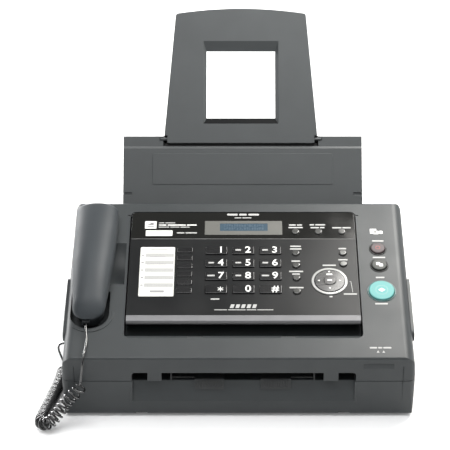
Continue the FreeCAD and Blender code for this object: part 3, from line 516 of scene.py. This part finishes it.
def caption(x, y, words, height=2.3, gap=1.3):
    """Stand-in for a line of print: one bar for each word, centred on x."""
    total = sum(words) + gap * (len(words) - 1)
    left = x - total / 2
    outlines = []
    for word in words:
        outlines.append(bar(left + word / 2, y, word, height))
        left += word + gap
    return outlines


def marks(name, outlines, height, material, body, thick=0.12, matrix=DECK):
    bm = bmesh.new()
    for outline in outlines:
        prism(bm, outline, height - MARK_SINK, height + thick)
    return mesh_piece(name, bm, material, body, matrix)


def arrow(x, y, size, heading):
    turn = math.radians(heading)
    points = []
    for along, across in ((size, 0), (-size * 0.6, size * 0.8), (-size * 0.6, -size * 0.8)):
        points.append((x + along * math.cos(turn) - across * math.sin(turn),
                       y + along * math.sin(turn) + across * math.cos(turn)))
    return points


# ---- cords ------------------------------------------------------------------------------
def spline_object(name, points, bevel, resolution):
    """NURBS curve of order 3 with the points as its control points, in metres."""
    curve = bpy.data.curves.new(name, "CURVE")
    curve.dimensions = "3D"
    curve.bevel_depth = bevel
    curve.bevel_resolution = 3
    curve.use_fill_caps = bevel > 0
    spline = curve.splines.new("NURBS")
    spline.points.add(len(points) - 1)
    for control, place in zip(spline.points, points):
        control.co = (*place, 1.0)
    spline.order_u = 3
    spline.use_endpoint_u = True
    spline.resolution_u = resolution
    made = bpy.data.objects.new(name, curve)
    bpy.context.scene.collection.objects.link(made)
    bpy.context.view_layer.update()
    return made


def curve_mesh(name, points, bevel, resolution):
    made = spline_object(name + "_curve", points, bevel, resolution)
    mesh = bpy.data.meshes.new_from_object(made)
    bpy.data.objects.remove(made)
    return mesh


def line_of(points, resolution):
    """The spline's own line, as points in order."""
    mesh = curve_mesh("line", points, 0.0, resolution)
    line = [vertex.co.copy() for vertex in mesh.vertices]
    bpy.data.meshes.remove(mesh)
    return line


def turn_pitch(travel, total):
    """Distance between turns: stretched where the coil hangs, touching where it lies."""
    hang = HANGING_PART * total
    if travel >= hang:
        return LYING_PITCH
    first, last = HANGING_PITCH
    return first + (last - first) * (travel / hang)


def helix(line):
    """Points of a curly cord wound round line, its radius growing and shrinking at the ends."""
    radius = (CORD_COIL - CORD_WIRE) / 2 * MM
    steps = [b - a for a, b in zip(line, line[1:])]
    total = sum(step.length for step in steps) / MM
    points = []
    normal = Vector((1, 0, 0))
    angle = travel = passed = 0.0
    i = 0
    while travel < total:
        while i < len(steps) - 1 and passed + steps[i].length / MM < travel:
            passed += steps[i].length / MM
            i += 1
        tangent = steps[i].normalized()
        centre = line[i] + tangent * (travel - passed) * MM
        normal = (normal - tangent * normal.dot(tangent)).normalized()
        side = tangent.cross(normal)
        reach = min(1.0, travel / COIL_GROWTH, (total - travel) / COIL_END)
        grown = radius * reach * reach * (3.0 - 2.0 * reach)
        points.append(centre + (normal * math.cos(angle) + side * math.sin(angle)) * grown)
        angle += math.tau / TURN_POINTS
        travel += turn_pitch(travel, total) / TURN_POINTS
    return points


def free_piece(name, mesh, material):
    mesh.materials.clear()
    mesh.materials.append(material)
    for polygon in mesh.polygons:
        polygon.use_smooth = True
    made = bpy.data.objects.new(name, mesh)
    bpy.context.scene.collection.objects.link(made)
    return made


def handset_cord():
    """Straight tail from the handset, curly cord down to the floor and back, straight lead to the jack."""
    wire = CORD_WIRE * MM
    tail_points = [case_point(p) for p in TAIL_ROUTE]
    tail_line = line_of(tail_points, ROUTE_STEPS)
    tail = free_piece("handset_tail", curve_mesh("handset_tail", tail_points, wire / 2, ROUTE_STEPS),
                      MATERIALS["cord_black"])
    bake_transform(tail)
    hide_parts("cord_tail")

    curl_points = helix(line_of([case_point(p) for p in CURL_ROUTE], ROUTE_STEPS))
    lead_points = [case_point(p) for p in LEAD_ROUTE]
    all_points = curl_points + lead_points[1:]
    curl_line = line_of(all_points, COIL_STEPS)
    curl = free_piece("curly_cord", curve_mesh("curly_cord", all_points, wire / 2, COIL_STEPS),
                      MATERIALS["cord_black"])
    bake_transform(curl)
    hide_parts("cord_curl", "cord_lead")


# ---- handset ----------------------------------------------------------------------------
HANDSET_SPLIT = 9.0
HANDSET_LOW = -14.5
CENTRE_LINE = ((55.0, -187.0), (81.0, -186.3), (121.0, -185.9), (152.0, -185.3), (210.0, -184.3),
               (250.0, -184.6))
HALF_WIDTH = ((55.0, 20.2), (81.0, 20.9), (95.0, 22.3), (121.0, 24.0), (152.0, 26.0), (210.0, 27.3),
              (250.0, 27.2))
TUB_X = -185.8
TUB_INSET = 1.8
TUB_HALF_WIDTH = 23.4
TUB_SQUARENESS = 0.36
TUB_DRAFT = 0.085
TUB_DEPTH = 24.0
SEAM_GAP = 0.4
SHELL_ENDS = (55.8, 250.0)
TUB_ENDS = (62.0, 248.0)
SOUND_HOLE_PLACES = (80.0, 222.0)
CROWN = ((57.0, 19.0), (75.0, 25.0), (110.0, 31.0), (150.0, 34.0), (190.0, 33.4), (225.0, 31.0),
         (250.0, 28.5))
UNDERSIDE = ((57.0, HANDSET_LOW), (104.0, HANDSET_LOW), (107.0, -11.0), (111.0, 2.0), (115.0, 7.0),
             (150.0, 8.0), (187.0, 7.0), (191.0, 2.0), (195.0, -11.0), (198.0, HANDSET_LOW),
             (250.0, HANDSET_LOW))


def smooth_value(place, knots):
    """Smooth curve through (place, value) knots, read at one place."""
    last = len(knots) - 1
    i = max(0, min(last - 1, sum(1 for knot in knots[1:] if knot[0] <= place)))
    (x0, y0), (x1, y1) = knots[i], knots[i + 1]
    before, after = knots[max(i - 1, 0)], knots[min(i + 2, last)]
    slope0 = (y1 - before[1]) / (x1 - before[0])
    slope1 = (after[1] - y0) / (after[0] - x0)
    share = (place - x0) / (x1 - x0)
    wide = x1 - x0
    return ((2 * share ** 3 - 3 * share ** 2 + 1) * y0
            + (share ** 3 - 2 * share ** 2 + share) * wide * slope0
            + (3 * share ** 2 - 2 * share ** 3) * y1
            + (share ** 3 - share ** 2) * wide * slope1)


def end_round(place, start, end, front, back, squareness=2.0):
    """Falls from 1 to 0 over the front and back lengths; 2 is a quarter ellipse, more is squarer."""
    inward = min((place - start) / front, (end - place) / back, 1.0)
    return max(0.0, 1.0 - (1.0 - inward) ** squareness) ** (1.0 / squareness)


def power(value, exponent):
    return math.copysign(abs(value) ** exponent, value)


def handset_ring(place, start, end, upper, steps):
    """One closed cross-section: a round arch over the seam, or a squarer tub under it."""
    centre = smooth_value(place, CENTRE_LINE)
    half = smooth_value(place, HALF_WIDTH)
    points = []
    if upper:
        wide = half * end_round(place, start, end, 23.0, 9.0, 2.5)
        tall = (smooth_value(place, CROWN) - HANDSET_SPLIT) * end_round(place, start, end, 26.0, 11.0)
        for i in range(steps + 1):
            turn = math.pi * i / steps
            points.append((centre + wide * power(math.cos(turn), 0.96), place,
                           HANDSET_SPLIT + tall * power(math.sin(turn), 0.84)))
        return points
    wide = min(half - TUB_INSET, TUB_HALF_WIDTH) * end_round(place, start, end, 22.0, 10.0)
    seam = HANDSET_SPLIT - SEAM_GAP
    deep = (seam - smooth_value(place, UNDERSIDE)) * (0.7 + 0.3 * end_round(place, start, end, 6.0, 5.0))
    for i in range(steps + 1):
        turn = math.pi * i / steps
        fall = power(math.sin(turn), TUB_SQUARENESS)
        narrow = 1.0 - TUB_DRAFT * min(1.0, fall * deep / TUB_DEPTH)
        across = wide * narrow * power(math.cos(turn), TUB_SQUARENESS)
        points.append((TUB_X + across, place, seam - deep * fall))
    return points


def handset_half(name, upper, node, start, end):
    stations, steps = 110, 36
    bm = bmesh.new()
    rings = []
    for i in range(stations + 1):
        share = 0.5 - 0.5 * math.cos(math.pi * (i + 0.25) / (stations + 0.5))
        place = start + (end - start) * share
        rings.append([bm.verts.new(point) for point in handset_ring(place, start, end, upper, steps)])
    for here, there in zip(rings, rings[1:]):
        for k in range(steps + 1):
            n = (k + 1) % (steps + 1)
            bm.faces.new((here[k], here[n], there[n], there[k]))
    bm.faces.new(rings[0])
    bm.faces.new(rings[-1])
    made = mesh_piece(name, bm, MATERIALS["handset_plastic"], "handset", smooth=True)
    made.data.set_sharp_from_angle(angle=math.radians(50))
    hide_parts(node)


def handset():
    handset_half("handset_cover", True, "handset_shell", *SHELL_ENDS)
    handset_half("handset_tub", False, "handset_inner_shell", *TUB_ENDS)
    holes = []
    for place in SOUND_HOLE_PLACES:
        for count, reach in ((1, 0.0), (6, 4.2), (12, 8.4)):
            for i in range(count):
                turn = math.tau * i / count
                x = smooth_value(place, CENTRE_LINE) + reach * math.cos(turn)
                holes.append(disc(x, place + reach * math.sin(turn), 0.9, 12))
    # The sound holes are flat black discs: painted shade where the holes are dark inside.
    marks("handset_sound_holes", holes, HANDSET_LOW - 0.05, HOLE_PAINTED_SHADE, "handset", thick=0.1)


# ---- printing on the panel --------------------------------------------------------------
PANEL_LOW, PANEL_HIGH = box_in(DECK, "control_panel")
PANEL_TOP = 2.5
BAND_START = 202.3
BAND_END = 250.6
BAND_INSET = 3.9
BAND_CORNER = 6.2
FIGURE_SIZE = 15.5


def panel_marks(name, outlines, ink, lift=0.0):
    marks(name, outlines, PANEL_TOP + lift, ink, "control_panel")


def band():
    """Glossy black strip across the top of the panel, with a pale line along its lower edge."""
    x0, x1 = PANEL_LOW.x + BAND_INSET, PANEL_HIGH.x - BAND_INSET
    middle = (BAND_START + BAND_END) / 2
    outline = [(x0, BAND_START), (x1, BAND_START)]
    outline += [p for p in rounded(x0, x1, BAND_START, BAND_END, BAND_CORNER) if p[1] > middle]
    bm = bmesh.new()
    prism(bm, outline, PANEL_TOP - 0.1, PANEL_TOP + 0.12)
    made = mesh_piece("panel_band", bm, BAND_GLOSS, "control_panel")
    panel_marks("band_line", [bar((x0 + x1) / 2, BAND_START - 0.35, x1 - x0, 0.6)], INK_GREY)


def node_centre(node):
    low, high = box_in(DECK, node)
    return (low.x + high.x) / 2, (low.y + high.y) / 2, high.z


KEY_SIGNS = {"key_" + figure: figure for figure in "123456789"}
KEY_SIGNS.update({"key_star": "*", "key_0": "0", "key_hash": "#"})


def key_text(name, sign, x, y, height, size, body):
    """A figure raised a hair above its key."""
    data = bpy.data.curves.new(name, "FONT")
    data.body = sign
    data.align_x = "CENTER"
    data.align_y = "CENTER"
    data.size = size
    data.extrude = 0.06
    data.offset = 0.3
    source = bpy.data.objects.new(name + "_text", data)
    bpy.context.scene.collection.objects.link(source)
    bpy.context.view_layer.update()
    mesh = bpy.data.meshes.new_from_object(source)
    bpy.data.objects.remove(source)
    mesh.transform(DECK @ Matrix.Translation((x, y, height + 0.03)))
    return piece(name, mesh, INK_WHITE, body)


def star_mark(name, x, y, height, body):
    """Six-armed star drawn as three crossed bars."""
    outlines = []
    for turn in (90, 30, -30):
        c, s = math.cos(math.radians(turn)), math.sin(math.radians(turn))
        outlines.append([(x + a * c - b * s, y + a * s + b * c)
                         for a, b in ((-4.0, -0.55), (4.0, -0.55), (4.0, 0.55), (-4.0, 0.55))])
    bm = bmesh.new()
    for i, outline in enumerate(outlines):
        prism(bm, outline, height - MARK_SINK, height + 0.08 + i * 0.01)
    return mesh_piece(name, bm, INK_WHITE, body)


def keypad_printing():
    for node, sign in KEY_SIGNS.items():
        x, y, top = node_centre(node)
        if sign == "*":
            star_mark("print_" + node, x + 5.6, y, top, node)
        else:
            key_text("print_" + node, sign, x + 5.8, y + 0.2, top, FIGURE_SIZE, node)
        if sign in "23456789":
            length = 9.4 if sign in "79" else 7.4
            marks("letters_" + node, [bar(x - 6.6, y + 0.2, length, 2.6)], top, INK_SOFT, node)


def caption_groups():
    """Lines of print beside each button: centre x, s and word lengths."""
    lines = []
    for x, y, words in ((74.6, 227.3, (9, 7)), (74.6, 222.6, (19,)), (103.2, 227.6, (6, 13)),
                        (103.2, 222.4, (11, 6)), (134.6, 222.2, (12, 11)),
                        (73.6, 188.4, (14,)), (73.8, 183.6, (15,)), (73.4, 161.8, (11,)),
                        (73.4, 143.6, (18,)), (73.2, 139.0, (10,)), (73.4, 115.4, (18,)),
                        (134.0, 184.2, (10,)), (134.0, 164.2, (12,)), (116.0, 154.4, (17,)),
                        (116.2, 100.0, (4,)), (140.9, 104.4, (17,)), (-29.6, 95.8, (11,))):
        lines += caption(x, y, words)
    return lines


def panel_printing():
    panel_marks("panel_captions", caption_groups(), INK_SOFT, 0.05)
    slant = [(142.2, 126.0), (142.8, 126.0), (144.4, 107.2), (143.8, 107.2)]
    panel_marks("navigator_bracket", [bar(141.6, 126.0, 1.6, 0.5), slant], INK_SOFT)
    title = [[(x - 3.1, 80.6), (x + 1.5, 80.6), (x + 3.1, 86.8), (x - 1.5, 86.8)] for x in range(-8, 24, 7)]
    panel_marks("panel_title_bars", title, INK_SOFT)
    panel_marks("panel_title_line", caption(6.5, 77.6, (16, 22, 12, 20), 1.3), INK_SOFT)
    name_bars = caption(5.8, 246.6, (14, 10, 14), 3.4, 2.0) + caption(5.8, 240.6, (9, 12), 1.5)
    panel_marks("panel_name_bars", name_bars, INK_SOFT, 0.1)


def help_label():
    """White block, lines of print and a blank name strip at the panel's upper left."""
    panel_marks("label_block", [rounded(-122.5, -107.4, 220.6, 234.4, 0.8)], INK_WHITE, 0.1)
    wedge = [(-119.5, 227.5), (-113.0, 231.6), (-110.0, 229.2), (-112.0, 227.2)]
    panel_marks("label_block_mark", [bar(-115.0, 224.4, 9.0, 1.2), wedge], INK_GREY, 0.2)
    lines = caption(-93.7, 231.2, (7, 13), 1.5) + caption(-84.4, 223.4, (14, 12, 12), 1.6)
    panel_marks("label_lines", lines, INK_SOFT, 0.1)
    panel_marks("label_bold_line", caption(-79.6, 227.2, (10, 24, 13), 2.0), INK_WHITE, 0.1)
    panel_marks("label_small_line", caption(-67.4, 212.8, (10, 15), 2.2), INK_SOFT, 0.1)
    panel_marks("name_strip", [rounded(-121.0, -86.2, 207.2, 217.4, 1.0)], INK_WHITE, 0.1)


LCD_WINDOW = (-24.4, 37.9, 216.3, 229.7)
CELL_ROWS, CELL_COLUMNS = 2, 16
CELL_PITCH = (3.3, 5.6)


def lcd():
    """Glass standing just above the band, with rows of blank character cells on it."""
    glass_height = PANEL_TOP + 0.25
    bm = bmesh.new()
    prism(bm, rounded(*LCD_WINDOW, 0.4, 2), glass_height - 0.2, glass_height)
    mesh_piece("lcd_glass", bm, LCD_GLASS, "control_panel")
    left, top = LCD_WINDOW[0], LCD_WINDOW[3]
    cells = []
    for row in range(CELL_ROWS):
        y = top - 3.4 - row * CELL_PITCH[1]
        for column in range(CELL_COLUMNS):
            x = left + 5.0 + column * CELL_PITCH[0]
            cells.append([(x, y - 2.0), (x + 2.5, y - 2.0), (x + 2.5, y + 2.0), (x, y + 2.0)])
    marks("lcd_cells", cells, glass_height + 0.02, LCD_CELL, "control_panel", thick=0.03)


CARD_PITCH = 13.158


def directory_rows():
    """Shaded rows, name lines and figures on the one-touch directory card."""
    low, high = box_in(DECK, "directory_card")
    middle = (low.x + high.x) / 2
    grey_rows, name_lines, figures = [], [], []
    for i in range(5):
        y = high.y - 14.6 - i * CARD_PITCH
        grey_rows.append(rounded(low.x + 6.6, high.x - 1.2, y - 3.2, y + 3.2, 0.3, 1))
        figures.append(bar(low.x + 3.4, y, 3.4, 2.0))
    for i, (length, shift) in enumerate(((22, 2), (20, 0), (25, -1))):
        name_lines.append(bar(middle + shift, high.y - 4.2 - i * CARD_PITCH, length, 1.0))
    name_lines.append(bar(middle + 1, low.y + 8.4, 18.0, 3.6))
    marks("card_rows", grey_rows, high.z, CARD_GREY, "control_panel", thick=0.05)
    marks("card_lines", name_lines, high.z, CARD_LINE, "control_panel", thick=0.06)
    marks("card_figures", figures, high.z, CARD_LINE, "control_panel", thick=0.06)


NAVIGATOR_ARROWS = ((0, 13.6, 0), (90, 0, 15.6), (180, -13.6, 0), (270, 0, -12.8))
BUTTON_HALF_WIDTHS = {"stop_button": 9.2, "copy_button": 9.8, "start_button": 16.2}


def navigator():
    x, y, top = node_centre("navigator_pad")
    arrows = [arrow(x + across, y + along, 1.9, turn)
              for turn, across, along in NAVIGATOR_ARROWS]
    marks("navigator_arrows", arrows, top, INK_WHITE, "navigator_pad")
    marks("navigator_mark", [rounded(x - 3.8, x + 3.8, y + 9.4, y + 12.0, 0.6, 2)], top, INK_WHITE,
          "navigator_pad")
    set_top = node_centre("set_button")[2]
    marks("set_mark", caption(x, y, (6,), 2.4), set_top, INK_WHITE, "set_button")
    NODES["navigator_ring"].data.materials[0] = RING_WHITE


def button_ring(name, node, inner, outer, high, material):
    """Raised collar in the cover round a button."""
    x, y = node_centre(node)[:2]
    profile = [(inner, -0.1), (inner, high), ((inner + outer) / 2, high + 0.25), (outer, high * 0.5),
               (outer, -0.1)]
    bm = bmesh.new()
    lathe(bm, (x, y), profile)
    mesh_piece(name, bm, material, "top_cover", smooth=True)


def ring_mark(name, node, inner, outer, ink, steps=64):
    """Printed ring on the top of a button."""
    x, y, top = node_centre(node)
    low, high = top - MARK_SINK, top + 0.1
    bm = bmesh.new()
    lathe(bm, (x, y), [(inner, low), (inner, high), (outer, high), (outer, low)], steps)
    mesh_piece(name, bm, ink, node)


def right_buttons():
    for node, half in BUTTON_HALF_WIDTHS.items():
        ring = RING_TEAL if node == "start_button" else RING_DARK
        button_ring("ring_" + node, node, half + 0.45, half + 2.2, 0.5, ring)
    x, y, top = node_centre("start_button")
    diamond = [(x - 4.4, y), (x, y - 3.4), (x + 4.4, y), (x, y + 3.4)]
    marks("start_mark", [diamond], top, INK_WHITE, "start_button")
    ring_mark("start_mark_ring", "start_button", 7.2, 7.9, INK_TEAL)
    x, y, top = node_centre("copy_button")
    sheets = [rounded(x - 4.0, x + 1.0, y - 1.8, y + 3.2, 0.6, 2),
              rounded(x - 0.4, x + 4.6, y - 4.2, y + 0.8, 0.6, 2)]
    marks("copy_mark", sheets, top, INK_WHITE, "copy_button")
    ring_mark("stop_mark", "stop_button", 2.4, 3.1, INK_RED, 32)


def deck_printing():
    lines = caption(181.0, 200.6, (15,)) + caption(180.8, 170.8, (16,)) + caption(180.2, 135.4, (11,))
    lines += caption(179.4, 90.2, (16,))
    marks("deck_captions", lines, 0.0, INK_SOFT, "top_cover")
    tag = [rounded(171.6, 180.0, 214.0, 222.8, 0.6, 2), rounded(176.0, 182.6, 212.8, 219.0, 0.6, 2)]
    tag += [bar(185.8, 216.4, 5.0, 5.6)]
    marks("deck_tag", tag, 0.0, INK_WHITE, "top_cover")


def pull_label():
    lines = caption(174.0, 17.2, (9, 5, 10), 2.4)
    lines += [arrow(170.6, 10.6, 2.2, 90), arrow(177.4, 10.6, 2.2, 90)]
    marks("pull_captions", lines, 0.0, INK_SOFT, "top_cover")


TRAY_CENTRE = 3.0


def tray_notch_painted_shade():
    """Painted shade: a dark sheet in the notch that the extension turns in, where the notch lies in shadow.
    """
    shade_outlines = [bar(TRAY_CENTRE, -12.45, 209.0, 7.1)]
    for side in (-1, 1):
        shade_outlines.append(bar(TRAY_CENTRE + side * 104.9, -9.4, 3.2, 13.2))
        shade_outlines.append(bar(TRAY_CENTRE + side * 101.9, -7.5, 5.0, 17.0))
    bm = bmesh.new()
    for i, outline in enumerate(shade_outlines):
        prism(bm, outline, -7.2, -5.8 - i * 0.02)
    mesh_piece("tray_notch_painted_shade", bm, PAINTED_SHADE_BLACK, "base", TRAY)


def extension_window_painted_shade():
    """Painted shade: a dark sheet on the lower bevel of the window in the tray's extension, where the bevel
    lies in shadow.
    """
    corners = ((-43.3, 24.6, -2.75), (49.3, 24.6, -2.75), (53.6, 16.8, 1.5), (-47.6, 16.8, 1.5))
    bm = bmesh.new()
    lower = [bm.verts.new((x, y, h - 0.3)) for x, y, h in corners]
    upper = [bm.verts.new((x, y, h + 0.08)) for x, y, h in corners]
    solid_between(bm, lower, upper)
    mesh_piece("extension_window_painted_shade", bm, BEVEL_PAINTED_SHADE, "tray_extension", TRAY)


def floor():
    bm = bmesh.new()
    half = 14.0
    corners = ((-half, -half), (half, -half), (half, half), (-half, half))
    bm.faces.new([bm.verts.new((x, y, 0.0)) for x, y in corners])
    mesh = bpy.data.meshes.new("floor")
    bm.to_mesh(mesh)
    bm.free()
    mesh.materials.append(floor_finish())
    made = bpy.data.objects.new("floor", mesh)
    bpy.context.scene.collection.objects.link(made)


camera()
handset_cord()
finish_nodes()
handset()
band()
keypad_printing()
panel_printing()
help_label()
lcd()
directory_rows()
navigator()
right_buttons()
deck_printing()
pull_label()
tray_notch_painted_shade()
extension_window_painted_shade()
floor()
studio()
